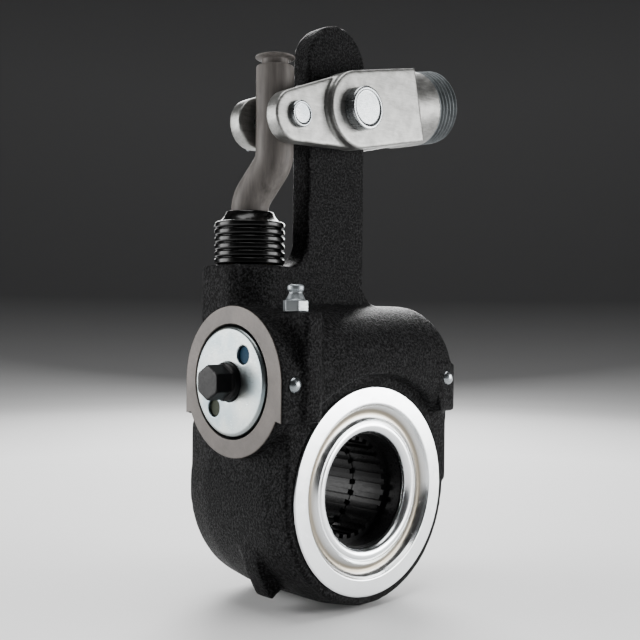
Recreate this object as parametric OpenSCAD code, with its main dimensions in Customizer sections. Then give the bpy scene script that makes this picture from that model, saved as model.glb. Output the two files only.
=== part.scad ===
/* [Arm] */
// Distance from the camshaft axis to the main clevis pin
arm_length = 139.7; // [130:0.1:160]
// Width of the arm
arm_w = 29.6; // [26:0.2:32]
// Thickness of the arm
arm_t = 9.4; // [8.6:0.1:12]
// Height of the arm above the main pin, up to the centre of its round end
arm_over = 18.4; // [16:0.1:24]
// Wall of the bush in the arm
bush_wall = 2.2; // [1.5:0.1:3]
// Radius of the fillet between the arm and the rack column
arm_fillet_left = 10; // [6:0.5:12]
// Radius of the fillet between the arm and the worm barrel
arm_fillet_right = 9; // [6:0.5:12]

/* [Lower body] */
// Radius of the round lower body
body_r = 42.5; // [41:0.5:46]
// Distance from the middle plane to the front of the lower body
body_front = 23.5; // [23:0.1:25]
// Distance from the middle plane to the back of the lower body
body_back = 31.5; // [30:0.1:33]
// Distance from the camshaft axis to the flank on the hex side
flank_left = 42; // [41:0.1:44]
// Distance from the camshaft axis to the other flank
flank_right = 44.4; // [43:0.1:46]
// How far the casting's draft draws the body in at its front and back
draft = 1.6; // [0.8:0.1:2]
// Height of the casting fin above the round body
fin_h = 5.8; // [3:0.2:7]
// Thickness of the casting fin
fin_t = 9; // [5:0.5:12]

/* [Worm barrel] */
// Centre distance of the worm and the worm wheel
worm_z = 40.1; // [39.8:0.1:41]
// Outer radius of the barrel
barrel_r = 27.6; // [27:0.1:30]
// Radius of the machined end face
face_r = 26.5; // [25.5:0.1:27]
// How far the barrel's outside lies in front of the worm axis
barrel_shift = 0.7; // [0:0.1:1]
// Distance from the camshaft axis to the machined end face
barrel_left = 46.7; // [46:0.1:50]
// Distance from the camshaft axis to the closed end of the barrel
barrel_right = 44.5; // [43:0.1:48]
// Height of each locking-screw pad above its lower edge
pad_h = 18.3; // [14:0.1:20]
// Width of each locking-screw pad
pad_w = 8.7; // [7:0.1:10]
// Diameter of a drive screw's head
screw_head_d = 5.6; // [4:0.1:7]
// Diameter of a drive screw's shank
screw_d = 2.8; // [2:0.1:3.5]

/* [Worm and wheel] */
// Teeth on the worm wheel
wheel_teeth = 22; // [20:1:24]
// Advance of the worm thread in one turn
worm_lead = 8.8; // [8.6:0.1:9]
// Height of a tooth above the pitch line
addendum = 2.2; // [1.8:0.1:2.4]
// Depth of a tooth space below the pitch line
dedendum = 2.9; // [2.6:0.1:3.2]
// Thickness of a wheel tooth at the pitch line
tooth_w = 3.5; // [3:0.1:3.8]
// Thickness of the worm thread at the pitch line
thread_w = 3.4; // [3:0.1:3.8]
// Face width of the wheel's teeth
wheel_face = 13; // [10:0.5:15]
// Radius of the wheel's hub
hub_r = 25; // [24:0.2:26]
// Distance from the middle plane to the wheel's front face
hub_front = 19.4; // [18.6:0.1:19.6]
// Distance from the middle plane to the wheel's back face
hub_back = 28; // [27:0.1:29]
// Radius of the worm's core
worm_core_r = 6.2; // [5.5:0.1:6.4]
// Length of the threaded part of the worm
worm_len = 30; // [26:0.5:32]

/* [Camshaft spline] */
// Teeth in the spline
spline_teeth = 28; // [24:1:40]
// Radius at the tips of the spline's teeth
spline_tip_r = 17.5; // [16.5:0.1:18]
// Radius at the roots of the spline's teeth
spline_root_r = 19; // [18.5:0.1:19.6]
// Radius of the register in front of the spline
register_r = 20.5; // [20:0.1:21]
// Depth of the register
register_len = 7; // [5:0.5:9]
// Length of one row of the spline
spline_row = 14; // [10:0.5:15]
// Width of the groove between the two rows
spline_groove = 3.1; // [2:0.1:4]

/* [Covers] */
// Outer radius of the front cover ring
cover_r = 37.9; // [37:0.1:39]
// Radius of the hole in the front cover ring
cover_hole_r = 20.8; // [20.7:0.1:23]
// Sheet thickness of the front cover ring
cover_sheet = 1.5; // [1:0.1:2]
// How far the cover ring stands proud of the body
cover_proud = 0.8; // [0.4:0.1:1.2]
// Radius of the bore for the end cap
cap_r = 19.1; // [18.6:0.1:19.6]
// Thickness of the end cap
cap_t = 6.5; // [6.1:0.1:6.7]
// How far the end cap stands proud of the machined end face
cap_proud = 0.9; // [0.6:0.1:1]
// Width of the gap round the end cap at the mouth of its bore
cap_gap = 1; // [0.5:0.1:1.4]
// Diameter of the two spanner holes in the end cap
spanner_d = 6.4; // [5:0.1:7]
// Radius of the circle on which the spanner holes lie
spanner_r = 12.4; // [11:0.1:13]

/* [Adjusting shaft] */
// Width of the hex across its flats
hex_af = 10.8; // [9.5:0.1:11.2]
// Length of the hex
hex_len = 6.9; // [6:0.1:10]
// Radius of the round collar behind the hex
collar_r = 6.8; // [6.6:0.1:7.4]
// How far the collar stands out of the machined end face
collar_out = 3; // [2:0.1:4]
// Radius of the shaft under the clutch pinion
shaft_r = 6; // [5.5:0.1:6]
// Length of the bearing bush at the closed end
right_bush_len = 14; // [10:0.5:16]

/* [Rack and pinion] */
// Sideways place of the rack column
column_x = -31; // [-33:0.1:-30]
// Depth of the rack column behind the middle plane
column_y = 9.2; // [8.6:0.1:9.8]
// Radius of the rack column
column_r = 17.2; // [16:0.1:18]
// Height of the top of the rack column
column_top = 81.1; // [80:0.1:82]
// Radius of the rack plunger
rack_r = 6.5; // [6:0.1:6.8]
// Pitch radius of the clutch pinion
pinion_r = 9; // [8.5:0.1:9.5]
// Teeth on the clutch pinion
pinion_teeth = 18; // [15:1:20]
// Face width of the clutch pinion
pinion_w = 10; // [8:0.5:11]
// Wall of the guide in the column
guide_wall = 3; // [2:0.1:4]
// Radius of the wrap spring's wire
wrap_wire_r = 0.75; // [0.5:0.05:1]
// Turns of the wrap spring
wrap_turns = 4; // [3:1:5]

/* [Boot] */
// Outer diameter of the boot's ridges
boot_d = 25.5; // [24:0.1:27]
// Ridges on the boot
boot_ridges = 6; // [4:1:7]
// Height of the ridged part of the boot
boot_h = 15.9; // [14:0.1:18]
// Wall of the boot
boot_wall = 1.2; // [0.8:0.1:1.4]

/* [Link] */
// Diameter of the link
link_d = 13.7; // [12:0.1:13.8]
// Height at which the link starts to bend
bend_low = 102; // [101:0.1:106]
// Height at which the link is straight again
bend_high = 122; // [120:0.1:125]
// Height of the shoulder at the top of the link
link_top = 153.8; // [152:0.1:158]
// Diameter of the neck above the shoulder
neck_d = 9.7; // [8:0.1:11]
// Diameter of the flange above the neck
flange_d = 14.3; // [13:0.1:16]
// Height of the flange's top above the shoulder
flange_h = 3; // [2.6:0.1:4]

/* [Clevis] */
// Tilt of the clevis from level, with the push rod's end up
clevis_tilt = 12; // [6:1:14]
// Distance between the two pins
pin_pitch = 27.9; // [27:0.1:30]
// Angle of the link pin above the clevis axis
link_pin_angle = 0.5; // [-2:0.1:2]
// Width of the clevis across its outer faces
clevis_w = 32.6; // [31:0.1:36]
// Width of the slot in the clevis
clevis_gap = 14.4; // [14.4:0.1:16]
// Height of the clevis
clevis_h = 28.6; // [26:0.1:30]
// Distance from the main pin to the bottom of the slot
slot_depth = 22; // [21:0.1:24]
// Distance from the main pin to the end of the flat sides
flat_end = 34.5; // [32:0.1:38]
// Distance from the main pin to the start of the outer thread
thread_start = 48.8; // [46:0.1:52]
// Distance from the main pin to the end of the boss
boss_end = 60.5; // [58:0.1:64]
// Width across the narrower ears that carry the link pin
ear_w = 26.4; // [25:0.1:29]
// Radius of the ears' round ends
ear_r = 9.3; // [8.5:0.1:11]
// How far the centre of the ears' round ends lies beyond the link pin
ear_reach = 1.3; // [0.5:0.1:2]
// Radius of the boss with the outer thread
boss_r = 15; // [14.4:0.1:16]
// Radius of the push rod's threaded hole
rod_r = 7.15; // [6:0.05:8]
// Diameter of the main pin
main_pin_d = 12.7; // [12:0.1:13.5]
// Diameter of the main pin's head
main_head_d = 16; // [15:0.1:20]
// Thickness of the main pin's head
main_head_t = 4.5; // [3:0.1:6]
// Diameter of the link pin
link_pin_d = 6.35; // [5:0.05:7]
// Diameter of the link pin's head
link_head_d = 9.5; // [8.5:0.1:12]
// Thickness of the link pin's head
link_head_t = 2; // [1.5:0.1:3]
// Radius of a cotter's wire
cotter_r = 1; // [0.8:0.05:1.2]

/* [Grease fitting] */
// Width of the grease boss
grease_w = 8.5; // [8:0.1:10]
// Distance from the middle plane to the front of the grease boss
grease_front = 29.5; // [28.5:0.1:32]
// Height of the top of the grease boss
grease_top = 64.5; // [62:0.1:67]
// Width of the fitting's hex across its flats
fitting_af = 7.94; // [7:0.01:8.5]
// Height of the fitting above its boss
fitting_h = 9.4; // [8:0.1:12]

/* [Fits] */
// Radial clearance of a shaft in its bearing
run_clear = 0.05; // [0.03:0.01:0.1]
// Radial clearance of a seated piece
seat_clear = 0.02; // [0.01:0.01:0.05]
// Gap between faces that move past each other
gap = 0.35; // [0.3:0.05:0.5]
// Clearance at the pivot between the link and the rack
foot_clear = 1.15; // [1.1:0.05:1.3]

/* [Hidden] */
$fn = 64;
eps = 0.01;
iron = [0.13, 0.13, 0.14];
zinc = [0.85, 0.86, 0.88];
taupe = [0.54, 0.51, 0.49];
rubber = [0.05, 0.05, 0.05];
bronze = [0.72, 0.55, 0.3];
steel = [0.6, 0.61, 0.63];

// Arm
arm_end_z = arm_length + arm_over;
bush_r = main_pin_d / 2 + run_clear;
bush_out_r = bush_r + bush_wall;

// Wheel and worm
front_y = -body_front;
back_y = body_back;
draft_front = -12;
draft_back = 20;
back_shoulder = 22;
wheel_pitch_r = wheel_teeth * worm_lead / (2 * PI);
worm_pitch_r = worm_z - wheel_pitch_r;
lead_angle = atan(worm_lead / (2 * PI * worm_pitch_r));
wheel_tip_r = wheel_pitch_r + addendum;
wheel_root_r = wheel_pitch_r - dedendum;
worm_tip_r = worm_pitch_r + addendum;
flank_angle = 20;
cavity_r = wheel_tip_r + 1.6;
seal_wall = 5;
cavity_half = wheel_face / 2 + 1.5;
seal_t = 6;
row_start = -hub_front + register_len;
worm_bore_r = worm_tip_r + 0.8;

// Along the worm axis, from the hex to the closed end
cap_face = -barrel_left - cap_proud;
cap_gap_deep = 2;
cap_back = cap_face + cap_t;
lip_seal_r = collar_r + 2.5;
lip_seal_t = 2.6;
washer_t = 1.6;
washer_back = cap_back + washer_t;
flange_front = washer_back + gap;
flange_back = flange_front + 1.2;
flange_r = collar_r + 1.8;
thrust_ring_r = flange_r + 3.8;
gasket_t = 1;
pinion_front = column_x - pinion_w / 2;
pinion_back = column_x + pinion_w / 2;
worm_front = -worm_len / 2;
hub_gap = (worm_front + pinion_back) / 2;
clutch_hub_r = shaft_r + 1.8;
end_collar_t = 1;
clutch_bore_r = max(pinion_r + 4, cap_r - 2);
clutch_end = worm_front - gap;
washer_right = worm_len / 2 + gap;
thrust_r = worm_z - sqrt(pow(wheel_tip_r, 2) - pow(washer_right, 2)) - 2 * gap;
bush_start = washer_right + washer_t;
bush_end = bush_start + right_bush_len;
right_bush_r = shaft_r + run_clear + 2.5;
plug_t = 2.5;
plug_r = right_bush_r + 3;
plug_start = bush_end + 4;

// Rack
pinion_module = 2 * pinion_r / pinion_teeth;
pinion_tip_r = pinion_r + 0.8 * pinion_module;
pinion_root_r = pinion_r - 1.25 * pinion_module;
rack_pitch = PI * pinion_module;
rack_face_y = pinion_r - 0.75 * pinion_module;
rack_root_y = pinion_r + 1.3 * pinion_module;
rack_below = 14.2;
rack_above = 23.5;
rack_bottom = worm_z - rack_below;
rack_well = rack_bottom - 4;
rack_neck = worm_z + rack_above;
teeth_below = floor(rack_below / rack_pitch);
teeth_above = floor(rack_above / rack_pitch) - 1;
guide_r = rack_r + run_clear + guide_wall;
guide_top = column_top - 2;
guide_low = rack_neck + 4;
cup_wall = 1.3;
cup_in_r = link_d / 2 + foot_clear;
cup_r = cup_in_r + cup_wall;
cup_low = column_top + 4.4;
cup_top = cup_low + 10.5;
foot_low = cup_low + 2.4;
foot_pin_z = foot_low + 4.2;
foot_pin_r = 2;

// Boot
ridge = boot_h / boot_ridges;
boot_r = boot_d / 2;
boot_seat = column_top + gap;
boot_top = boot_seat + boot_h;
collar_top = boot_top + 3.6;

// Clevis and link
clevis_r = clevis_h / 2;
link_pin_x = -pin_pitch * cos(link_pin_angle);
link_pin_z = pin_pitch * sin(link_pin_angle);
link_x = -pin_pitch * cos(clevis_tilt - link_pin_angle);
link_z = arm_length - pin_pitch * sin(clevis_tilt - link_pin_angle);
link_r = link_d / 2;
bend_rise = bend_high - bend_low;
bend_side = norm([link_x - column_x, column_y]);
bend_turn = atan2(-column_y, link_x - column_x);
bend_angle = 2 * atan(bend_side / bend_rise);
bend_r = bend_rise / (2 * sin(bend_angle));
main_out = clevis_w / 2;
ear_out = ear_w / 2;
cotter_off = 2.6;
main_tail = 5.4;
link_tail = 4.4;

// Locking screws and grease passage
pad_drop = 12.9;
pad_low = worm_z - pad_drop;
left_pad_end = -barrel_left + 10.7;
pad_proud = 0.3;
left_pad_y = -face_r - barrel_shift - pad_proud;
right_pad_end = flank_right - 2.8;
right_pad_x = right_pad_end - pad_w;
right_pad_y = -barrel_r - barrel_shift - pad_proud;
screw_left_x = -barrel_left + 5.7;
screw_right_x = right_pad_x + pad_w / 2;
screw_depth = 7;
grease_x = -33.75;
grease_y = -19.3;
stem_r = 2.6;
stem_len = 5;
grease_way_r = 1.2;

// A cylinder along Y from one depth to another
module rod_y(r, from, to) {
    translate([0, to, 0]) rotate([90, 0, 0]) cylinder(r = r, h = to - from);
}

// A cylinder along X from one place to another
module rod_x(r, from, to) {
    translate([from, 0, 0]) rotate([0, 90, 0]) cylinder(r = r, h = to - from);
}

// A ring along X
module ring_x(r_out, r_in, from, to) {
    difference() {
        rod_x(r_out, from, to);
        rod_x(r_in, from - 1, to + 1);
    }
}

// A ring along Y
module ring_y(r_out, r_in, from, to) {
    difference() {
        rod_y(r_out, from, to);
        rod_y(r_in, from - 1, to + 1);
    }
}

// An outline in the XZ plane, thickened along Y about the middle plane
module slab(t) {
    rotate([90, 0, 0]) linear_extrude(height = t, center = true) children();
}

// A cylinder along Z from one height to another
module rod_z(r, from, to) {
    translate([0, 0, from]) cylinder(r = r, h = to - from);
}

// The corner left between two walls by a fillet, with the walls along +X and +Y
module fillet_2d(r) {
    difference() {
        translate([-1, -1]) square(r + 1);
        translate([r, r]) circle(r);
    }
}

// Two circles joined by their common tangents, the second at -X
module taper_2d(r1, r2, d) {
    a = acos((r1 - r2) / d);
    circle(r1);
    translate([-d, 0]) circle(r2);
    polygon([
        [-r1 * cos(a), r1 * sin(a)], [-d - r2 * cos(a), r2 * sin(a)],
        [-d - r2 * cos(a), -r2 * sin(a)], [-r1 * cos(a), -r1 * sin(a)]
    ]);
}

// Moves a piece from the worm axis' own frame to its place
module on_worm_axis() {
    translate([0, 0, worm_z]) children();
}

// Moves a piece from the clevis' own frame, main pin at the origin, to its place
module on_clevis() {
    translate([0, 0, arm_length]) rotate([0, -clevis_tilt, 0]) children();
}

module arm_outline() {
    translate([0, arm_end_z]) circle(arm_w / 2);
    translate([-arm_w / 2, worm_z]) square([arm_w, arm_end_z - worm_z]);
    translate([column_x, worm_z]) square([-column_x, column_top - worm_z]);
    translate([-arm_w / 2, column_top]) mirror([1, 0]) fillet_2d(arm_fillet_left);
    translate([arm_w / 2, worm_z + barrel_r - 0.4]) fillet_2d(arm_fillet_right);
}

// The round body, drawn in at both ends by the draft of the mould
module body_disc() {
    rotate([-90, 0, 0]) rotate_extrude() polygon([
        [0, front_y], [body_r - draft, front_y], [body_r, draft_front],
        [body_r, draft_back], [body_r - draft, back_y], [0, back_y]
    ]);
}

// The straight flanks between the round body and the barrel, with the same draft and a sloping back
module body_flanks() {
    intersection() {
        linear_extrude(height = worm_z) polygon([
            [-flank_left + draft, front_y], [-flank_left, draft_front],
            [-flank_left, draft_back], [-flank_left + draft, back_y],
            [flank_right - draft, back_y], [flank_right, draft_back],
            [flank_right, draft_front], [flank_right - draft, front_y]
        ]);
        rotate([90, 0, 90]) linear_extrude(height = 4 * body_r, center = true) polygon([
            [front_y, 0], [front_y, worm_z], [draft_back, worm_z], [back_y, back_shoulder], [back_y, 0]
        ]);
    }
}

// Wedge of casting flash that stands up from the round body and ends square
module fin_outline() {
    start = 204;
    tip = 230;
    end = 235;
    polygon([
        (body_r - 1) * [cos(start), sin(start)], body_r * [cos(start), sin(start)],
        (body_r + 0.55 * fin_h) * [cos((start + tip) / 2), sin((start + tip) / 2)],
        (body_r + fin_h) * [cos(tip), sin(tip)], (body_r + fin_h) * [cos(tip + 2), sin(tip + 2)],
        (body_r - 2) * [cos(end), sin(end)]
    ]);
}

// Block under a barrel end, with a locking-screw pad on its front
module barrel_end_block(from, to, pad_x, front) {
    translate([from, front, pad_low]) cube([to - from, face_r - barrel_shift - front, pad_drop]);
    translate([pad_x, front, pad_low]) cube([pad_w, -front, pad_h]);
}

// Barrel with a slight taper to the machined face and a rounded closed end
module barrel_solid() {
    edge = 7;
    taper = 16;
    translate([0, -barrel_shift, worm_z]) rotate([0, 90, 0]) rotate_extrude() {
        polygon([
            [0, -barrel_left], [face_r, -barrel_left], [face_r, left_pad_end],
            [barrel_r, left_pad_end + taper], [barrel_r, barrel_right - edge], [0, barrel_right - edge]
        ]);
        translate([0, barrel_right - edge - eps]) square([barrel_r - edge, edge + eps]);
        translate([barrel_r - edge, barrel_right - edge]) intersection() {
            circle(edge);
            square(edge);
        }
    }
    barrel_end_block(-barrel_left, left_pad_end, left_pad_end - pad_w, left_pad_y);
    barrel_end_block(right_pad_x, right_pad_end, right_pad_x, right_pad_y);
}

module grease_boss() {
    r = 2;
    translate([grease_x, 0, pad_low]) linear_extrude(height = grease_top - pad_low) {
        translate([-grease_w / 2, -grease_front + r]) square([grease_w, grease_front - r]);
        translate([-grease_w / 2 + r, -grease_front]) square([grease_w - 2 * r, r + eps]);
        for (s = [-1, 1])
            translate([s * (grease_w / 2 - r), -grease_front + r]) circle(r);
    }
}

module column_solid() {
    edge = 1.2;
    translate([column_x, column_y, 0]) rotate_extrude() {
        translate([0, worm_z]) square([column_r, column_top - edge - worm_z]);
        translate([0, worm_z]) square([column_r - edge, column_top - worm_z]);
        translate([column_r - edge, column_top - edge]) circle(edge);
    }
}

// The column, cut flush with the machined end face
module column_trimmed() {
    intersection() {
        column_solid();
        translate([-barrel_left, -2 * barrel_r, 0]) cube([2 * barrel_left, 4 * barrel_r, 2 * arm_length]);
    }
}

// Room in front of the body for the cover ring, under the barrel
module arch_cut() {
    reach = 20;
    rod_y(body_r, front_y - reach, front_y);
}

module worm_bores() {
    on_worm_axis() {
        rod_x(cap_r + cap_gap, -barrel_left - 1, -barrel_left + cap_gap_deep);
        rod_x(cap_r + seat_clear, -barrel_left - 1, cap_back);
        rod_x(clutch_bore_r, cap_back - eps, clutch_end);
        rod_x(worm_bore_r, clutch_end - eps, washer_right);
        rod_x(thrust_r + seat_clear, washer_right - eps, bush_start);
        rod_x(right_bush_r + seat_clear, bush_start - eps, plug_start);
        rod_x(plug_r + seat_clear, plug_start, barrel_right + 1);
    }
}

module wheel_bores() {
    rod_y(cavity_r, front_y - 1, cavity_half);
    rod_y(hub_r + seal_wall + seat_clear, back_y - seal_t, back_y + 1);
    rod_y(hub_r + gap, 0, back_y);
    rod_y(cover_r + seat_clear, front_y - 1, front_y + cover_sheet - cover_proud);
}

// Well and guide of the rack, with a spot face for the boot in the arm's fillet
module rack_bores() {
    translate([column_x, column_y, 0]) {
        rod_z(rack_r + gap, rack_well, guide_low);
        rod_z(guide_r + seat_clear, guide_low - eps, column_top + 1);
        rod_z(boot_r + gap, column_top, boot_top);
    }
}

module screw_places() {
    for (p = [[screw_left_x, left_pad_y], [screw_right_x, right_pad_y]])
        translate([p[0], p[1], worm_z]) rotate([90, 0, 0]) children();
}

// Seat of the fitting's stem and the passage down to the worm
module grease_bores() {
    translate([grease_x, grease_y, 0]) {
        rod_z(stem_r + seat_clear, grease_top - stem_len - 1, grease_top + 1);
        rod_z(grease_way_r, worm_z, grease_top);
    }
}

module housing() {
    color(iron) difference() {
        union() {
            difference() {
                union() {
                    body_disc();
                    body_flanks();
                    barrel_solid();
                }
                arch_cut();
            }
            slab(arm_t) arm_outline();
            slab(fin_t) fin_outline();
            grease_boss();
            column_trimmed();
        }
        rod_y_at_pin(bush_out_r + seat_clear);
        worm_bores();
        wheel_bores();
        rack_bores();
        grease_bores();
        screw_places() rod_z(screw_d / 2 + seat_clear, -screw_depth, 1);
    }
}

module rod_y_at_pin(r) {
    translate([0, 0, arm_length]) rod_y(r, -arm_t, arm_t);
}

module arm_bush() {
    color(bronze) translate([0, 0, arm_length]) ring_y(bush_out_r, bush_r, -arm_t / 2, arm_t / 2);
}

module spline_2d() {
    slot_w = PI * spline_root_r / spline_teeth;
    circle(spline_tip_r);
    for (i = [0:spline_teeth - 1])
        rotate(i * 360 / spline_teeth)
            translate([0, -slot_w / 2]) square([spline_root_r, slot_w]);
}

module wheel_tooth() {
    tip = tooth_w / 2 - addendum * tan(flank_angle);
    root = tooth_w / 2 + (dedendum + 1) * tan(flank_angle);
    translate([wheel_pitch_r, 0, 0]) rotate([lead_angle, 0, 0]) rotate([90, 0, 0])
        linear_extrude(height = 2 * wheel_face, center = true)
            polygon([[-dedendum - 1, -root], [addendum, -tip], [addendum, tip], [-dedendum - 1, root]]);
}

module worm_wheel() {
    color(steel) difference() {
        union() {
            rod_y(hub_r, -hub_front, hub_back);
            rod_y(wheel_root_r, -wheel_face / 2, wheel_face / 2);
            intersection() {
                for (i = [0:wheel_teeth - 1])
                    rotate([0, (i + 0.5) * 360 / wheel_teeth, 0]) wheel_tooth();
                rod_y(wheel_tip_r, -wheel_face / 2, wheel_face / 2);
            }
        }
        rotate([90, 0, 0]) linear_extrude(height = 2 * hub_back + 2, center = true) spline_2d();
        rod_y(register_r, -hub_front - 1, row_start);
        rod_y(spline_root_r + 0.3, row_start + spline_row, row_start + spline_row + spline_groove);
        rod_y(register_r, row_start + 2 * spline_row + spline_groove, hub_back + 1);
    }
}

// Bearing of the wheel's hub, cut away where the worm's bore passes
module front_bearing_ring() {
    color(bronze) difference() {
        ring_y(cavity_r - seat_clear, hub_r + run_clear, -hub_front, -wheel_face / 2 - gap);
        on_worm_axis() rod_x(worm_bore_r, -cavity_r, cavity_r);
    }
}

// Pressed sheet: flat flange, rounded groove and a lip that turns in to the hole
module front_cover_ring() {
    face = body_front + cover_proud;
    flange_w = 6.5;
    groove_w = 4.2;
    groove_deep = 2.5;
    lip_w = 2.6;
    lip_round = 3.1;
    flat_r = cover_r - flange_w;
    lip_r = cover_hole_r + lip_w;
    back = face - groove_deep - cover_sheet;
    color(zinc) rotate([90, 0, 0]) rotate_extrude() {
        translate([flat_r, face - cover_sheet]) square([flange_w, cover_sheet]);
        translate([flat_r - groove_w, back]) square([groove_w, cover_sheet]);
        translate([flat_r, back]) square([cover_sheet, groove_deep + cover_sheet]);
        translate([lip_r, back]) square([flat_r - groove_w + 0.1 - lip_r, lip_round]);
        intersection() {
            translate([lip_r, back]) circle(lip_round);
            translate([cover_hole_r, back]) square([lip_w + 0.1, lip_round + 1]);
        }
    }
}

module rear_seal() {
    color(rubber) ring_y(hub_r + seal_wall, hub_r + run_clear, back_y - seal_t, back_y - 0.3);
}

// Faces of a chain of n + 1 rings with the same number of points, closed at both ends
function chain_faces(n, sides) = concat(
    [for (i = [0:n - 1], k = [0:sides - 1]) each [
        [sides * i + k, sides * (i + 1) + k, sides * (i + 1) + (k + 1) % sides],
        [sides * i + k, sides * (i + 1) + (k + 1) % sides, sides * i + (k + 1) % sides]
    ]],
    [[for (k = [0:sides - 1]) k]],
    [[for (k = [sides - 1:-1:0]) sides * n + k]]
);

// One section of the thread, t turns from the middle of the worm
function thread_ring(t) = let(
    tip = thread_w / 2 - addendum * tan(flank_angle),
    root = thread_w / 2 + (dedendum - 0.4) * tan(flank_angle),
    core = worm_core_r - 0.3
) [for (p = [[-root, core], [-tip, worm_tip_r], [tip, worm_tip_r], [root, core]])
    [worm_lead * t + p[0], p[1] * sin(360 * t), p[1] * cos(360 * t)]];

// The thread, swept round the axis as a chain of trapezium sections
module worm_thread() {
    steps = 24;
    half = floor((worm_len / 2 - thread_w) / worm_lead * steps);
    points = [for (i = [-half:half]) each thread_ring(i / steps)];
    polyhedron(points, chain_faces(2 * half, 4));
}

// Hex, collar and thrust flange, shaft of the clutch, then the worm between its two shoulders
module worm_shaft() {
    hex_r = hex_af / 2 / cos(30);
    hex_back = -barrel_left - collar_out;
    hex_edge = 0.4;
    color(iron) on_worm_axis() {
        translate([hex_back - hex_len, 0, 0]) rotate([0, 90, 0]) intersection() {
            cylinder(r = hex_r, h = hex_len + 1, $fn = 6);
            cylinder(r1 = hex_r - hex_edge, r2 = hex_r + hex_len, h = hex_len + hex_edge);
        }
        rod_x(collar_r, hex_back, flange_front + eps);
        rod_x(flange_r, flange_front, flange_back);
        rod_x(clutch_hub_r, flange_back - eps, pinion_front - gap);
        rod_x(shaft_r, flange_back, worm_front);
        rod_x(clutch_hub_r, hub_gap + gap / 2, worm_front);
        rod_x(worm_core_r, worm_front - eps, worm_len / 2);
        rod_x(clutch_hub_r, worm_len / 2 - end_collar_t, worm_len / 2);
        rod_x(shaft_r, worm_len / 2 - eps, bush_end + 1);
        worm_thread();
    }
}

module end_cap() {
    rim = 0.8;
    hole_deep = 3.6;
    hole_turn = 40;
    color(zinc) on_worm_axis() difference() {
        union() {
            rod_x(cap_r, cap_face + rim, cap_back);
            translate([cap_face, 0, 0]) rotate([0, 90, 0]) cylinder(r1 = cap_r - rim, r2 = cap_r, h = rim);
        }
        rod_x(collar_r + 2 * run_clear, cap_face - 1, cap_back + 1);
        rod_x(lip_seal_r + seat_clear, cap_back - lip_seal_t, cap_back + 1);
        for (s = [-1, 1])
            rotate([s == 1 ? hole_turn : hole_turn + 180, 0, 0]) translate([0, 0, spanner_r])
                rod_x(spanner_d / 2, cap_face - 1, cap_face + hole_deep);
    }
}

module shaft_seal() {
    color(rubber) on_worm_axis() ring_x(lip_seal_r, collar_r + run_clear, cap_back - lip_seal_t, cap_back);
}

module cap_gasket() {
    color(rubber) on_worm_axis()
        ring_x(clutch_bore_r - seat_clear, thrust_ring_r + 0.2, cap_back, cap_back + gasket_t);
}

module left_thrust_washer() {
    color(bronze) on_worm_axis() ring_x(thrust_ring_r, collar_r + gap, cap_back, washer_back);
}

module right_thrust_washer() {
    color(bronze) on_worm_axis() ring_x(thrust_r, shaft_r + gap, washer_right, bush_start);
}

module right_bush() {
    color(bronze) on_worm_axis() ring_x(right_bush_r, shaft_r + run_clear, bush_start, bush_end);
}

// Cup plug pressed into the closed end
module right_end_plug() {
    color(iron) on_worm_axis() difference() {
        rod_x(plug_r, plug_start, plug_start + plug_t + 1);
        rod_x(plug_r - 2, plug_start + plug_t, plug_start + plug_t + 2);
    }
}

module pinion_2d() {
    circle(pinion_root_r);
    half = rack_pitch / 4 - 0.14 * pinion_module;
    for (i = [0:pinion_teeth - 1])
        rotate(i * 360 / pinion_teeth) polygon([
            [pinion_root_r - 0.4, -half - 1.1 * pinion_module * tan(flank_angle)],
            [pinion_tip_r, -half + 0.8 * pinion_module * tan(flank_angle)],
            [pinion_tip_r, half - 0.8 * pinion_module * tan(flank_angle)],
            [pinion_root_r - 0.4, half + 1.1 * pinion_module * tan(flank_angle)]
        ]);
}

module clutch_pinion() {
    color(steel) on_worm_axis() difference() {
        union() {
            translate([pinion_front, 0, 0]) rotate([90, 0, 90]) linear_extrude(height = pinion_w) pinion_2d();
            rod_x(clutch_hub_r, pinion_back - eps, hub_gap - gap / 2);
        }
        rod_x(shaft_r + run_clear, flange_back, worm_front);
    }
}

function coil_ring(i, steps, r, pitch, sides) = let(a = 360 * i / steps)
    [for (k = [0:sides - 1]) let(b = 360 * k / sides, q = r + wrap_wire_r * cos(b))
        [pitch * i / steps + wrap_wire_r * sin(b), q * sin(a), q * cos(a)]];

module clutch_spring() {
    steps = 18;
    sides = 6;
    n = steps * wrap_turns;
    pitch = 2 * wrap_wire_r + 0.2;
    r = clutch_hub_r + gap + wrap_wire_r;
    points = [for (i = [0:n]) each coil_ring(i, steps, r, pitch, sides)];
    color(steel) on_worm_axis() translate([hub_gap - pitch * wrap_turns / 2, 0, 0])
        polyhedron(points, chain_faces(n, sides));
}

// Gap between two rack teeth, as a prism across the blade
module rack_gap() {
    half = rack_pitch / 4 + 0.14 * pinion_module;
    deep = rack_root_y - rack_face_y;
    mouth = half + 1.2 * deep * tan(flank_angle);
    floor_half = half - 0.6 * deep * tan(flank_angle);
    rotate([90, 0, 90]) linear_extrude(height = 4 * rack_r, center = true)
        polygon([[-1, -mouth], [deep, -floor_half], [deep, floor_half], [-1, mouth]]);
}

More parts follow.
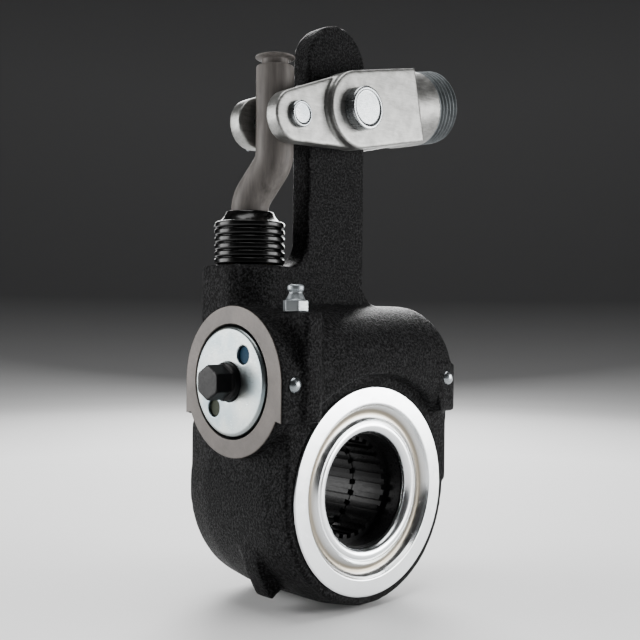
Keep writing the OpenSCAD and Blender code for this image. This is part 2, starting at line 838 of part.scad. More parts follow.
// Half-round blade with teeth below, round stem through the guide, cup for the link's foot on top
module rack_plunger() {
    cup_floor = 2;
    color(steel) difference() {
        translate([column_x, column_y, 0]) {
            rod_z(rack_r, rack_bottom, cup_low + eps);
            rod_z(cup_r, cup_low, cup_top);
        }
        translate([column_x - 2 * rack_r, rack_face_y - 4 * rack_r, rack_bottom - 1])
            cube([4 * rack_r, 4 * rack_r, rack_neck - rack_bottom + 1]);
        for (i = [-teeth_below:teeth_above])
            translate([column_x, rack_face_y, worm_z + i * rack_pitch]) rack_gap();
        translate([column_x, column_y, 0]) rod_z(cup_in_r, cup_low + cup_floor, cup_top + 1);
        translate([column_x, column_y, foot_pin_z]) rod_y(foot_pin_r + seat_clear, -2 * cup_r, 2 * cup_r);
    }
}

module rack_guide() {
    color(bronze) translate([column_x, column_y, 0]) difference() {
        rod_z(guide_r, guide_low, guide_top);
        rod_z(rack_r + run_clear, guide_low - 1, guide_top + 1);
    }
}

module link_foot_pin() {
    color(steel) translate([column_x, column_y, foot_pin_z]) rod_y(foot_pin_r, -cup_r, cup_r);
}

// One section of the bent bar, at a place in the plane of the bend and a lean from upright
function bar_ring(x, z, lean, r, sides) = [for (k = [0:sides - 1]) let(b = 360 * k / sides)
    [x + r * cos(b) * cos(lean), r * sin(b), z - r * cos(b) * sin(lean)]];

// The S bend: two equal arcs, with ends that reach into the straight stretches
module bar_bend() {
    steps = 9;
    sides = 28;
    reach = 2;
    r = link_r - seat_clear;
    arcs = [for (i = [0:steps]) let(a = bend_angle * i / steps)
        [bend_r * (1 - cos(a)), bend_r * sin(a), a]];
    rest = [for (i = [steps - 1:-1:0]) [bend_side - arcs[i][0], bend_rise - arcs[i][1], arcs[i][2]]];
    path = concat([[0, -reach, 0]], arcs, rest, [[bend_side, bend_rise + reach, 0]]);
    points = [for (p = path) each bar_ring(p[0], p[1], p[2], r, sides)];
    polyhedron(points, chain_faces(len(path) - 1, sides));
}

// Round bar with an S bend from the rack's axis to the middle plane
module link() {
    color(taupe) difference() {
        union() {
            translate([column_x, column_y, 0]) rod_z(link_r, foot_low, bend_low);
            translate([column_x, column_y, bend_low]) rotate([0, 0, bend_turn]) bar_bend();
            translate([link_x, 0, 0]) rotate_extrude() {
                translate([0, bend_high]) square([link_r, link_top - bend_high]);
                translate([0, link_top - eps]) square([neck_d / 2, flange_h]);
                translate([0, link_top]) polygon([
                    [0, flange_h - 2], [neck_d / 2, flange_h - 2], [flange_d / 2, flange_h - 1],
                    [flange_d / 2, flange_h], [0, flange_h]
                ]);
            }
        }
        translate([link_x, 0, link_z]) rod_y(link_pin_d / 2 + run_clear, -2 * link_r, 2 * link_r);
        translate([column_x, column_y, foot_pin_z]) rod_y(foot_pin_r + foot_clear, -2 * link_r, 2 * link_r);
    }
}

// Bellows on the column with a conical collar round the link
module boot() {
    deep = 1.3;
    neck_r = link_r + foot_clear;
    color(rubber) translate([column_x, column_y, 0]) rotate_extrude() {
        for (i = [0:boot_ridges - 1])
            translate([0, boot_seat + i * ridge]) polygon([
                [boot_r - deep - boot_wall, 0], [boot_r - deep, 0], [boot_r, ridge / 2],
                [boot_r - deep, ridge], [boot_r - deep - boot_wall, ridge]
            ]);
        polygon([
            [boot_r - deep - boot_wall, boot_top - eps], [boot_r - deep, boot_top - eps],
            [neck_r + 1.6, collar_top - 1.2], [neck_r + 1.4, collar_top], [neck_r, collar_top],
            [neck_r, collar_top - 1.6]
        ]);
    }
}

module clevis() {
    ridges = 5;
    ridge_w = (boss_end - thread_start) / ridges;
    ridge_deep = 1.1;
    ear_step = 0.3;
    color(zinc) on_clevis() difference() {
        union() {
            slab(clevis_w) {
                circle(clevis_r);
                translate([0, -clevis_r]) square([flat_end, clevis_h]);
            }
            slab(ear_w) taper_2d(clevis_r - ear_step, ear_r, pin_pitch + ear_reach);
            rod_x(boss_r, flat_end - eps, boss_end);
        }
        translate([-2 * pin_pitch, -clevis_gap / 2, -clevis_h])
            cube([2 * pin_pitch + slot_depth, clevis_gap, 2 * clevis_h]);
        rod_y(main_pin_d / 2 + run_clear, -clevis_w, clevis_w);
        translate([link_pin_x, 0, link_pin_z]) rod_y(link_pin_d / 2 + run_clear, -clevis_w, clevis_w);
        rod_x(rod_r, slot_depth - 1, boss_end + 1);
        rotate([0, 90, 0]) rotate_extrude() for (i = [0:ridges - 1])
            translate([boss_r, thread_start + (i + 0.5) * ridge_w]) polygon([
                [-ridge_deep, 0], [1, -ridge_w / 2], [1, ridge_w / 2]
            ]);
    }
}

// Headed pin along Y, with a cross hole for its cotter in the tail
module headed_pin(r, head_r, head_t, seat, tail) {
    edge = 0.4;
    difference() {
        union() {
            rod_y(r, -seat - eps, seat + tail);
            rod_y(head_r, -seat - head_t + edge, -seat);
            translate([0, -seat - head_t + edge, 0]) rotate([90, 0, 0])
                cylinder(r1 = head_r, r2 = head_r - edge, h = edge);
        }
        translate([0, seat + cotter_off, 0]) cylinder(r = cotter_r + seat_clear, h = 4 * r, center = true);
    }
}

// Split pin through a pin's tail: shank, eye and two spread ends
module cotter(r, seat) {
    eye_r = 1.7 * cotter_r;
    translate([0, seat + cotter_off, 0]) {
        translate([0, 0, -r - 4]) cylinder(r = cotter_r, h = 2 * r + 5.5);
        translate([0, 0, r + 1.5 + eye_r]) rotate([0, 90, 0]) rotate_extrude()
            translate([eye_r, 0]) circle(cotter_r * 0.8);
        for (s = [-1, 1])
            translate([0, 0, -r - 3.2]) rotate([0, s * 28, 0])
                translate([0, 0, -3.2]) cylinder(r = cotter_r * 0.6, h = 3.2);
    }
}

module main_pin() {
    color(zinc) on_clevis() headed_pin(main_pin_d / 2, main_head_d / 2, main_head_t, main_out, main_tail);
}

module link_pin() {
    color(zinc) on_clevis() translate([link_pin_x, 0, link_pin_z])
        headed_pin(link_pin_d / 2, link_head_d / 2, link_head_t, ear_out, link_tail);
}

module main_cotter() {
    color(zinc) on_clevis() cotter(main_pin_d / 2, main_out);
}

module link_cotter() {
    color(zinc) on_clevis() translate([link_pin_x, 0, link_pin_z]) cotter(link_pin_d / 2, ear_out);
}

// Hex, cone and the waisted head that the coupler grips, bored through
module grease_fitting() {
    hex_h = 0.42 * fitting_h;
    waist = 0.7 * fitting_h;
    head_r = 0.36 * fitting_af;
    waist_r = 0.28 * fitting_af;
    edge = 0.5;
    ball_way_r = 0.7;
    color(zinc) translate([grease_x, grease_y, grease_top]) difference() {
        union() {
            rod_z(stem_r, -stem_len, 1);
            cylinder(r = fitting_af / 2 / cos(30), h = hex_h, $fn = 6);
            rotate_extrude() polygon([
                [0, hex_h - eps], [fitting_af / 2 - edge, hex_h - eps], [waist_r, waist],
                [head_r, waist + 2 * edge], [head_r, fitting_h - edge],
                [head_r - edge, fitting_h], [0, fitting_h]
            ]);
        }
        rod_z(ball_way_r, -stem_len - 1, fitting_h + 1);
    }
}

// Dome-headed drive screws that lock the end cap and the plug
module drive_screws() {
    dome_h = 1.5;
    dome_r = (pow(screw_head_d / 2, 2) + dome_h * dome_h) / (2 * dome_h);
    color(zinc) screw_places() {
        rod_z(screw_d / 2, -screw_depth, 0.5);
        intersection() {
            translate([0, 0, dome_h - dome_r]) sphere(dome_r);
            cylinder(r = screw_head_d, h = dome_h + 1);
        }
    }
}

housing();
arm_bush();
worm_wheel();
front_bearing_ring();
front_cover_ring();
rear_seal();
worm_shaft();
end_cap();
shaft_seal();
cap_gasket();
left_thrust_washer();
right_thrust_washer();
right_bush();
right_end_plug();
clutch_pinion();
clutch_spring();
rack_plunger();
rack_guide();
link_foot_pin();
link();
boot();
clevis();
main_pin();
link_pin();
main_cotter();
link_cotter();
grease_fitting();
drive_screws();
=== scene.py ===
# Brake slack adjuster: the finish of every piece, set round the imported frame
import math

import bmesh
import bpy
import numpy as np
from mathutils import Matrix, Vector


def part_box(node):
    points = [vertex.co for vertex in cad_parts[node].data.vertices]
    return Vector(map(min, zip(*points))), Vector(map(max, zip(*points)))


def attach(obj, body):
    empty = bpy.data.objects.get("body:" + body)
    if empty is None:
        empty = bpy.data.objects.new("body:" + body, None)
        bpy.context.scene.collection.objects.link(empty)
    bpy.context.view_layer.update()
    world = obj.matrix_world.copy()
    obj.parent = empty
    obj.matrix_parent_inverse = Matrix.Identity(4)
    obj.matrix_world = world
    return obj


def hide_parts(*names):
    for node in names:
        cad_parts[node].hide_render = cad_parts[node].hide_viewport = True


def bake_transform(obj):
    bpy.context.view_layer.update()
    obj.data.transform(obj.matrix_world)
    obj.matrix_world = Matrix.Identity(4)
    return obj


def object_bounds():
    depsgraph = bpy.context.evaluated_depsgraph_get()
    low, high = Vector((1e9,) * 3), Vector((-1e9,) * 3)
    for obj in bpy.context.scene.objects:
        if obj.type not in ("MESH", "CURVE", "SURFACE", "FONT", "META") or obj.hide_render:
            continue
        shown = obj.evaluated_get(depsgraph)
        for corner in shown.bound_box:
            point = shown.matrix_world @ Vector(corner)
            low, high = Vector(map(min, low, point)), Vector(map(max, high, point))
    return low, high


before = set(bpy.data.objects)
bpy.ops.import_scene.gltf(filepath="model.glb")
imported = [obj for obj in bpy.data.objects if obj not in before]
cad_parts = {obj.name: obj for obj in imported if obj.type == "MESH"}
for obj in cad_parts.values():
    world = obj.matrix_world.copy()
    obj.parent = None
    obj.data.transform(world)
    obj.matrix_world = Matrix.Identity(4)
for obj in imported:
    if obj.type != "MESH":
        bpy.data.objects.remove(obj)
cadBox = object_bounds()
mm = 0.001
print("frame loaded with", len(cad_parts), "nodes")


# Meshes from numpy arrays

def putMesh(name, points, faces):
    # points in millimetres, faces as rows of indices
    mesh = bpy.data.meshes.new(name)
    mesh.from_pydata((np.asarray(points) * mm).tolist(), [], np.asarray(faces).tolist())
    mesh.polygons.foreach_set("use_smooth", np.ones(len(mesh.polygons), bool))
    mesh.update()
    piece = bpy.data.objects.new(name, mesh)
    bpy.context.scene.collection.objects.link(piece)
    return piece


def gridFaces(rows, columns, closeRows=False, closeColumns=False):
    # quads between neighbours of a grid, joined round where a direction closes
    i = np.arange(rows if closeRows else rows - 1)
    j = np.arange(columns if closeColumns else columns - 1)
    i, j = (g.ravel() for g in np.meshgrid(i, j, indexing="ij"))
    nextI, nextJ = (i + 1) % rows, (j + 1) % columns
    return np.c_[i * columns + j, nextI * columns + j, nextI * columns + nextJ, i * columns + nextJ]


def outward(piece):
    # merges seams and poles, then turns every face outwards
    soft = bmesh.new()
    soft.from_mesh(piece.data)
    bmesh.ops.remove_doubles(soft, verts=soft.verts, dist=1e-7)
    bmesh.ops.recalc_face_normals(soft, faces=soft.faces)
    soft.to_mesh(piece.data)
    soft.free()
    return piece


def lathe(name, profile, steps, place):
    # profile rows are (radius, height); each row turns round the axis, and place maps (x, y, height) to the object
    turn = np.linspace(0, 2 * np.pi, steps, endpoint=False)
    radius, height = np.asarray(profile, float).T
    ring = np.stack([radius[:, None] * np.cos(turn), radius[:, None] * np.sin(turn),
                     np.repeat(height[:, None], steps, 1)], 2)
    return outward(putMesh(name, place(ring.reshape(-1, 3)), gridFaces(len(radius), steps, closeColumns=True)))


def arc(centre, radius, start, end, count=9):
    # points on a circle from one angle to another, in degrees
    a = np.radians(np.linspace(start, end, count))
    return np.c_[centre[0] + radius * np.cos(a), centre[1] + radius * np.sin(a)]


def neighbourMean(points, edges, count):
    # the mean of the points that share an edge with each point
    first, second = edges.T
    total = [np.bincount(first, points[second, k], len(points)) + np.bincount(second, points[first, k], len(points))
             for k in range(3)]
    return np.stack(total, 1) / count[:, None]


pull = 0.5


def softCopy(node, name, look, hold=None):
    # a solid's copy as one even skin: each round moves a point part of the way to the mean of its neighbours
    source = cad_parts[node]
    mesh = source.data.copy()
    piece = bpy.data.objects.new(name, mesh)
    bpy.context.scene.collection.objects.link(piece)
    soft = bmesh.new()
    soft.from_mesh(mesh)
    bmesh.ops.remove_doubles(soft, verts=soft.verts, dist=1e-6)
    soft.to_mesh(mesh)
    soft.free()
    skin = piece.modifiers.new("skin", "REMESH")
    skin.mode = "VOXEL"
    skin.voxel_size = look["voxel"] * mm
    shaped = bpy.data.meshes.new_from_object(piece.evaluated_get(bpy.context.evaluated_depsgraph_get()))
    piece.modifiers.clear()
    piece.data = shaped
    shaped.materials.clear()
    points = np.zeros(len(shaped.vertices) * 3)
    shaped.vertices.foreach_get("co", points)
    points = points.reshape(-1, 3) / mm
    edges = np.zeros(len(shaped.edges) * 2, int)
    shaped.edges.foreach_get("vertices", edges)
    edges = edges.reshape(-1, 2)
    count = np.bincount(edges.ravel(), minlength=len(points))
    weight = np.full((len(points), 1), pull) if hold is None else pull * hold(points)[:, None]
    for step in range(look["rounds"]):
        points = points + weight * (neighbourMean(points, edges, count) - points)
    if "shape" in look:
        points = look["shape"](points)
    shaped.vertices.foreach_set("co", (points * mm).ravel())
    shaped.polygons.foreach_set("use_smooth", np.ones(len(shaped.polygons), bool))
    shaped.update()
    print("soft copy of", node, "with", len(shaped.polygons), "faces")
    return piece


def dress(piece, material, body, *nodes):
    # one material, the body that carries the piece, and the solids that it stands for
    piece.data.materials.clear()
    piece.data.materials.append(material)
    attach(piece, body)
    if nodes:
        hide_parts(*nodes)
    return piece


# Materials

def newMaterial(name, base, metal, rough):
    # a material with its tree and its main shader
    material = bpy.data.materials.new(name)
    material.use_nodes = True
    shader = material.node_tree.nodes["Principled BSDF"]
    shader.inputs["Base Color"].default_value = (*base, 1)
    shader.inputs["Metallic"].default_value = metal
    shader.inputs["Roughness"].default_value = rough
    return material, material.node_tree, shader


def addNode(tree, kind, **values):
    # each value goes to the socket of that name, or else to the node's own setting
    node = tree.nodes.new(kind)
    for key, value in values.items():
        if key in node.inputs:
            node.inputs[key].default_value = value
        else:
            setattr(node, key, value)
    return node


def objectPlace(tree, scale=(1, 1, 1), turn=(0, 0, 0), move=(0, 0, 0)):
    # Object coordinates through a mapping, in metres before the scale
    coordinates = tree.nodes.new("ShaderNodeTexCoord")
    mapping = addNode(tree, "ShaderNodeMapping", Scale=scale, Rotation=turn, Location=move)
    tree.links.new(coordinates.outputs["Object"], mapping.inputs["Vector"])
    return mapping.outputs["Vector"]


def noise(tree, vector, scale, detail=3.0, rough=0.55):
    # noise between 0 and 1, with so many waves to a metre
    node = addNode(tree, "ShaderNodeTexNoise", Scale=scale, Detail=detail, Roughness=rough)
    tree.links.new(vector, node.inputs["Vector"])
    return node.outputs["Fac"]


def ramp(tree, value, low, high, lowColour, highColour):
    # colours between two levels of a value
    node = tree.nodes.new("ShaderNodeValToRGB")
    stops = node.color_ramp.elements
    stops[0].position, stops[1].position = low, high
    stops[0].color, stops[1].color = (*lowColour, 1), (*highColour, 1)
    tree.links.new(value, node.inputs["Fac"])
    return node.outputs["Color"]


def spread(tree, value, low, high, toLow, toHigh):
    # a value carried in a straight line from one range to another
    node = addNode(tree, "ShaderNodeMapRange")
    for key, number in zip(("From Min", "From Max", "To Min", "To Max"), (low, high, toLow, toHigh)):
        node.inputs[key].default_value = number
    tree.links.new(value, node.inputs["Value"])
    return node.outputs["Result"]


def bump(tree, shader, heights):
    # heights are (value, strength, distance in mm), laid one on another
    last = None
    for value, strength, distance in heights:
        node = addNode(tree, "ShaderNodeBump", Strength=strength, Distance=distance * mm)
        tree.links.new(value, node.inputs["Height"])
        if last is not None:
            tree.links.new(last, node.inputs["Normal"])
        last = node.outputs["Normal"]
    tree.links.new(last, shader.inputs["Normal"])


castLook = {"dark": (0.0022, 0.0022, 0.0023), "pale": (0.034, 0.034, 0.035), "grain": 1250.0, "wave": 150.0,
            "gloss": 0.04}


def castPaint():
    # satin black paint over the pebbly skin of a sand casting; its pale specks are partly the grain's own colour and
    # partly painted sparkle highlights
    material, tree, shader = newMaterial("satinCastPaint", castLook["dark"], 0.0, 0.4)
    shader.inputs["Specular IOR Level"].default_value = castLook["gloss"]
    place = objectPlace(tree)
    pebble = noise(tree, place, castLook["grain"], 4.0, 0.6)
    wave = noise(tree, place, castLook["wave"], 2.0)
    # the pale specks are partly grain colour and partly painted highlight, standing for sparkle on the pebbles
    tree.links.new(ramp(tree, pebble, 0.44, 0.75, castLook["dark"], castLook["pale"]), shader.inputs["Base Color"])
    tree.links.new(spread(tree, pebble, 0.3, 0.7, 0.5, 0.34), shader.inputs["Roughness"])
    bump(tree, shader, [(wave, 0.3, 0.7), (pebble, 1.0, 0.6)])
    return material


turnedLook = {"centre": (0.0, 0.0, 0.0401), "rings": 130.0, "dark": (0.046, 0.039, 0.0345),
              "pale": (0.080, 0.0685, 0.061)}


def turnedIron():
    # bare machined iron: faint rings round the worm axis, a fine speckle and a soft cloud of tone
    material, tree, shader = newMaterial("turnedEndFace", turnedLook["pale"], 0.35, 0.45)
    place = objectPlace(tree, move=tuple(-c for c in turnedLook["centre"]))
    ring = addNode(tree, "ShaderNodeTexWave", Scale=turnedLook["rings"], Distortion=0.6)
    ring.wave_type, ring.rings_direction = "RINGS", "X"
    tree.links.new(place, ring.inputs["Vector"])
    speck = noise(tree, place, 1500.0, 5.0, 0.65)
    cloud = noise(tree, place, 90.0, 3.0)
    tree.links.new(ramp(tree, cloud, 0.3, 0.7, turnedLook["dark"], turnedLook["pale"]), shader.inputs["Base Color"])
    tree.links.new(spread(tree, speck, 0.3, 0.7, 0.36, 0.56), shader.inputs["Roughness"])
    bump(tree, shader, [(ring.outputs["Fac"], 0.08, 0.05), (speck, 0.2, 0.04)])
    return material


linkTone = {"dark": (0.062, 0.056, 0.052), "pale": (0.135, 0.123, 0.115), "gloss": 0.12}


def linkPhosphate():
    # warm grey phosphate: streaks drawn along the bar and rubbed patches
    material, tree, shader = newMaterial("linkPhosphate", linkTone["pale"], 0.0, 0.5)
    shader.inputs["Specular IOR Level"].default_value = linkTone["gloss"]
    streak = noise(tree, objectPlace(tree, scale=(1, 1, 0.12)), 420.0, 5.0, 0.6)
    patch = noise(tree, objectPlace(tree), 130.0, 4.0, 0.6)
    tree.links.new(ramp(tree, streak, 0.3, 0.7, linkTone["dark"], linkTone["pale"]), shader.inputs["Base Color"])
    tree.links.new(spread(tree, patch, 0.3, 0.7, 0.4, 0.62), shader.inputs["Roughness"])
    bump(tree, shader, [(patch, 0.15, 0.2), (streak, 0.2, 0.06)])
    return material


zincLook = {"cap": ((0.20, 0.245, 0.265), (0.40, 0.405, 0.375)), "pin": ((0.24, 0.262, 0.275), (0.42, 0.43, 0.432)),
            "capRough": 0.32, "pinRough": 0.26, "fittingRough": 0.44}
ringTint = {"grooveOut": 31.5, "grooveIn": 25.5, "grooveShade": (0.21, 0.186, 0.147), "flat": (0.93, 0.955, 0.97)}


def coverPlate():
    # bright plate with painted shade in the groove: a darker beige band stands for the dark reflection there; the
    # tone goes by the distance from the camshaft axis
    material, tree, shader = newMaterial("coverZinc", ringTint["flat"], 1.0, 0.22)
    distance = addNode(tree, "ShaderNodeVectorMath", operation="LENGTH")
    tree.links.new(objectPlace(tree, scale=(1, 0, 1)), distance.inputs[0])
    middle = (ringTint["grooveOut"] + ringTint["grooveIn"]) / 2 * mm
    reach = (ringTint["grooveOut"] - ringTint["grooveIn"]) / 2 * mm
    offset = addNode(tree, "ShaderNodeMath", operation="SUBTRACT")
    tree.links.new(distance.outputs["Value"], offset.inputs[0])
    offset.inputs[1].default_value = middle
    width = addNode(tree, "ShaderNodeMath", operation="ABSOLUTE")
    tree.links.new(offset.outputs["Value"], width.inputs[0])
    depth = spread(tree, width.outputs["Value"], 0.0, reach, 0.0, 1.0)
    # painted shade: the ramp darkens the groove to beige and keeps the flat at the plate's own colour
    tree.links.new(ramp(tree, depth, 0.25, 1.0, ringTint["grooveShade"], ringTint["flat"]), shader.inputs["Base Color"])
    rub = noise(tree, objectPlace(tree), 350.0, 5.0, 0.6)
    tree.links.new(spread(tree, rub, 0.3, 0.7, 0.18, 0.28), shader.inputs["Roughness"])
    bump(tree, shader, [(rub, 0.03, 0.03)])
    return material


def brightZinc(name, tones, rough):
    # bright plate with a faint warm cloud and fine rubbing marks
    material, tree, shader = newMaterial(name, tones[0], 1.0, rough)
    place = objectPlace(tree)
    cloud = noise(tree, place, 60.0, 3.0)
    rub = noise(tree, objectPlace(tree, scale=(1, 1, 6)), 700.0, 4.0)
    tree.links.new(ramp(tree, cloud, 0.35, 0.7, *tones), shader.inputs["Base Color"])
    tree.links.new(spread(tree, rub, 0.3, 0.7, rough - 0.06, rough + 0.1), shader.inputs["Roughness"])
    bump(tree, shader, [(rub, 0.06, 0.03)])
    return material


clevisLook = {"dark": (0.115, 0.115, 0.111), "pale": (0.29, 0.29, 0.279), "rough": 0.38, "tilt": math.radians(12)}
threadLook = {"dark": (0.065, 0.071, 0.074), "pale": (0.16, 0.174, 0.18), "rough": 0.55}


def milledZinc(name, look):
    # plated steel with milling scratches along the clevis and a mottled bloom
    material, tree, shader = newMaterial(name, look["pale"], 0.85, look["rough"])
    along = objectPlace(tree, scale=(6, 60, 60), turn=(0, clevisLook["tilt"], 0))
    scratch = noise(tree, along, 26.0, 6.0, 0.7)
    bloom = noise(tree, objectPlace(tree), 240.0, 5.0, 0.65)
    mix = addNode(tree, "ShaderNodeMath", operation="ADD")
    half = addNode(tree, "ShaderNodeMath", operation="MULTIPLY")
    half.inputs[1].default_value = 0.5
    tree.links.new(bloom, mix.inputs[0])
    tree.links.new(scratch, mix.inputs[1])
    tree.links.new(mix.outputs["Value"], half.inputs[0])
    tone = ramp(tree, half.outputs["Value"], 0.34, 0.62, look["dark"], look["pale"])
    tree.links.new(tone, shader.inputs["Base Color"])
    worn = spread(tree, scratch, 0.3, 0.7, look["rough"] - 0.1, look["rough"] + 0.12)
    tree.links.new(worn, shader.inputs["Roughness"])
    bump(tree, shader, [(scratch, 0.3, 0.12), (bloom, 0.15, 0.06)])
    return material


oxideLook = {"hex": ((0.0035, 0.0035, 0.0038), 0.36, 0.12), "spline": ((0.007, 0.007, 0.0073), 0.3, 0.12),
             "seal": ((0.01, 0.01, 0.01), 0.5, 0.5), "blueFloor": ((0.008, 0.040, 0.075), 0.6, 0.1),
             "greyFloor": ((0.040, 0.047, 0.032), 0.6, 0.1)}


def blackOxide(name, base, rough, gloss):
    # a dark skin with fine specks: base tone, roughness and gloss come from one row of the table
    material, tree, shader = newMaterial(name, base, 0.0, rough)
    shader.inputs["Specular IOR Level"].default_value = gloss
    speck = noise(tree, objectPlace(tree), 1100.0, 4.0)
    tree.links.new(spread(tree, speck, 0.3, 0.7, rough - 0.08, rough + 0.1), shader.inputs["Roughness"])
    bump(tree, shader, [(speck, 0.12, 0.05)])
    return material


rubberLook = {"base": (0.0015, 0.0015, 0.0015), "gloss": 0.25}


def glossRubber():
    # gloss black rubber with faint specks
    material, tree, shader = newMaterial("glossBootRubber", rubberLook["base"], 0.0, 0.2)
    shader.inputs["Specular IOR Level"].default_value = rubberLook["gloss"]
    speck = noise(tree, objectPlace(tree), 800.0, 3.0)
    tree.links.new(spread(tree, speck, 0.3, 0.7, 0.16, 0.28), shader.inputs["Roughness"])
    bump(tree, shader, [(speck, 0.06, 0.04)])
    return material


metalLook = {"bronze": ((0.5, 0.35, 0.17), 0.4), "steel": ((0.42, 0.43, 0.45), 0.3)}


def plainMetal(name, base, rough):
    # bare metal whose roughness changes with fine specks
    material, tree, shader = newMaterial(name, base, 1.0, rough)
    speck = noise(tree, objectPlace(tree), 600.0, 4.0)
    tree.links.new(spread(tree, speck, 0.3, 0.7, rough - 0.06, rough + 0.1), shader.inputs["Roughness"])
    return material


castBlack = castPaint()
bareFace = turnedIron()
linkFinish = linkPhosphate()
coverZinc = coverPlate()
capZinc = brightZinc("capZinc", zincLook["cap"], zincLook["capRough"])
pinZinc = brightZinc("pinZinc", zincLook["pin"], zincLook["pinRough"])
fittingZinc = brightZinc("fittingZinc", zincLook["pin"], zincLook["fittingRough"])
clevisPlate = milledZinc("milledZincPlate", clevisLook)
threadPlate = milledZinc("threadZincPlate", threadLook)
hexBlack = blackOxide("adjusterOxide", *oxideLook["hex"])
splineBlack = blackOxide("splineOxide", *oxideLook["spline"])
bootRubber = glossRubber()
innerBronze = plainMetal("sinteredBronze", *metalLook["bronze"])
innerSteel = plainMetal("groundSteel", *metalLook["steel"])
sealRubber = blackOxide("sealRubber", *oxideLook["seal"])
print("materials made:", len(bpy.data.materials))


# Camera at the photograph's place, fitted to its rings, pins and edges

cameraLook = {"lens": 54.07, "sensor": 36.0, "azimuth": -43.423, "elevation": -0.170, "roll": 0.523,
              "distance": 366.022, "shift": (-2.893, -3.065), "target": (0.0, 0.0, 65.0)}


def addCamera(look):
    # the camera stands back from the target, moved sideways and up in its own plane, then rolled
    a, e, r = (math.radians(look[key]) for key in ("azimuth", "elevation", "roll"))
    back = Vector((math.sin(a) * math.cos(e), -math.cos(a) * math.cos(e), math.sin(e)))
    level = Vector((math.cos(a), math.sin(a), 0))
    upright = back.cross(level)
    right = level * math.cos(r) + upright * math.sin(r)
    up = upright * math.cos(r) - level * math.sin(r)
    place = Vector(look["target"]) + right * look["shift"][0] + up * look["shift"][1] + back * look["distance"]
    data = bpy.data.cameras.new("photoCamera")
    data.lens, data.sensor_width = look["lens"], look["sensor"]
    data.clip_start, data.clip_end = 0.01, 100.0
    camera = bpy.data.objects.new("photoCamera", data)
    bpy.context.scene.collection.objects.link(camera)
    camera.matrix_world = Matrix.Translation(place * mm) @ Matrix((right, up, back)).transposed().to_4x4()
    bpy.context.scene.camera = camera


addCamera(cameraLook)
print("camera set")


# Housing: the casting's soft skin and its machined end face

housingLook = {"voxel": 0.9, "rounds": 6}
barrel = {"radius": 26.5, "shift": -0.7, "face": -46.7, "axisZ": 40.1, "bore": 20.1, "nib": 12.9}
castSoft = {"faceGap": 1.0, "faceFade": 1.5, "front": -21.5, "seatRadius": 39.5, "seat": 0.15, "padX": 28.0,
            "padZ": 17.0, "pad": 0.3, "bossFront": -12.0, "bossX": (-44.0, -24.0), "bossZ": 56.0, "boss": 0.4}


def castHold(points):
    # 1 where the casting is soft, 0 at the machined face, low at the ring's seat, the screw pads and the grease boss
    x, y, z = points.T
    atFace = np.clip((x - barrel["face"] - castSoft["faceGap"]) / castSoft["faceFade"], 0, 1)
    front = y < castSoft["front"]
    beside = (np.abs(x) > castSoft["padX"]) & (np.abs(z - barrel["axisZ"]) < castSoft["padZ"])
    left, right = castSoft["bossX"]
    onBoss = (y < castSoft["bossFront"]) & (x > left) & (x < right) & (z > castSoft["bossZ"])
    atSeat = np.where(front & (np.hypot(x, z) < castSoft["seatRadius"]), castSoft["seat"], 1.0)
    atPad = np.where(front & beside, castSoft["pad"], 1.0)
    return atFace * atSeat * np.minimum(atPad, np.where(onBoss, castSoft["boss"], 1.0))


rackRoom = {"axis": (-31.0, 9.2), "radius": 7.1, "core": 4.5, "wall": (20.5, 68.0), "well": (20.0, 25.0),
            "floor": 21.6}


def clearRack(points):
    # inside the rack's bore the skin is moved out to a fixed distance from the rack's axis, and down at its floor
    away = points[:, :2] - rackRoom["axis"]
    reach = np.hypot(*away.T)
    height = points[:, 2].copy()
    inside = reach < rackRoom["radius"]
    wall = inside & (reach > rackRoom["core"]) & (height > rackRoom["wall"][0]) & (height < rackRoom["wall"][1])
    floor = inside & (height > rackRoom["well"][0]) & (height < rackRoom["well"][1])
    push = np.where(wall, rackRoom["radius"] / np.maximum(reach, 1e-6), 1.0)
    points[:, :2] = rackRoom["axis"] + away * push[:, None]
    points[:, 2] = np.where(floor, np.minimum(height, rackRoom["floor"]), height)
    return points


housingSkin = softCopy("housing", "housingCasting", {**housingLook, "shape": clearRack}, castHold)
dress(housingSkin, castBlack, "housing", "housing")

faceLook = {"proud": 0.06, "steps": 256}


def endFace():
    # a flat ring from the cap's bore to the barrel's circle, whose sides are carried straight down to the two nibs
    turn = np.linspace(0, 2 * np.pi, faceLook["steps"], endpoint=False)
    below = np.degrees(np.arctan2(-np.sin(turn), np.abs(np.cos(turn))))
    limit = math.degrees(math.atan2(barrel["nib"], barrel["radius"]))
    square = (below > 0) & (below < limit)
    outline = np.where(square, barrel["radius"] / np.cos(np.radians(below)), barrel["radius"])
    inner = np.full_like(turn, barrel["bore"])
    shift = barrel["shift"]
    rows = [(inner, 0.0, 0.5), (inner, 0.0, 0.2), (inner + 0.15, 0.0, 0.0), (inner + 0.3, 0.0, 0.0),
            (inner + 0.5, 0.0, 0.0), (outline - 0.7, shift, 0.0), (outline - 0.4, shift, 0.0),
            (outline - 0.2, shift, 0.0), (outline - 0.05, shift, 0.15)]
    face = barrel["face"] - faceLook["proud"]
    grid = [np.c_[np.full_like(turn, face + depth), side + radius * np.cos(turn),
                  barrel["axisZ"] + radius * np.sin(turn)] for radius, side, depth in rows]
    faces = gridFaces(len(rows), len(turn), closeColumns=True)
    return outward(putMesh("machinedEndFace", np.concatenate(grid), faces))


dress(endFace(), bareFace, "housing")
print("housing done")


# Front cover ring: a pressed sheet turned round the camshaft axis

ringLook = {"outer": 37.9, "flat": 31.4, "groove": 28.0, "hole": 20.85, "face": 24.3, "sheet": 1.4,
            "edge": 0.5, "brow": 0.6, "hollow": 3.74, "hollowUp": 0.74, "lip": 2.75, "lipDeep": 4.1, "steps": 192}


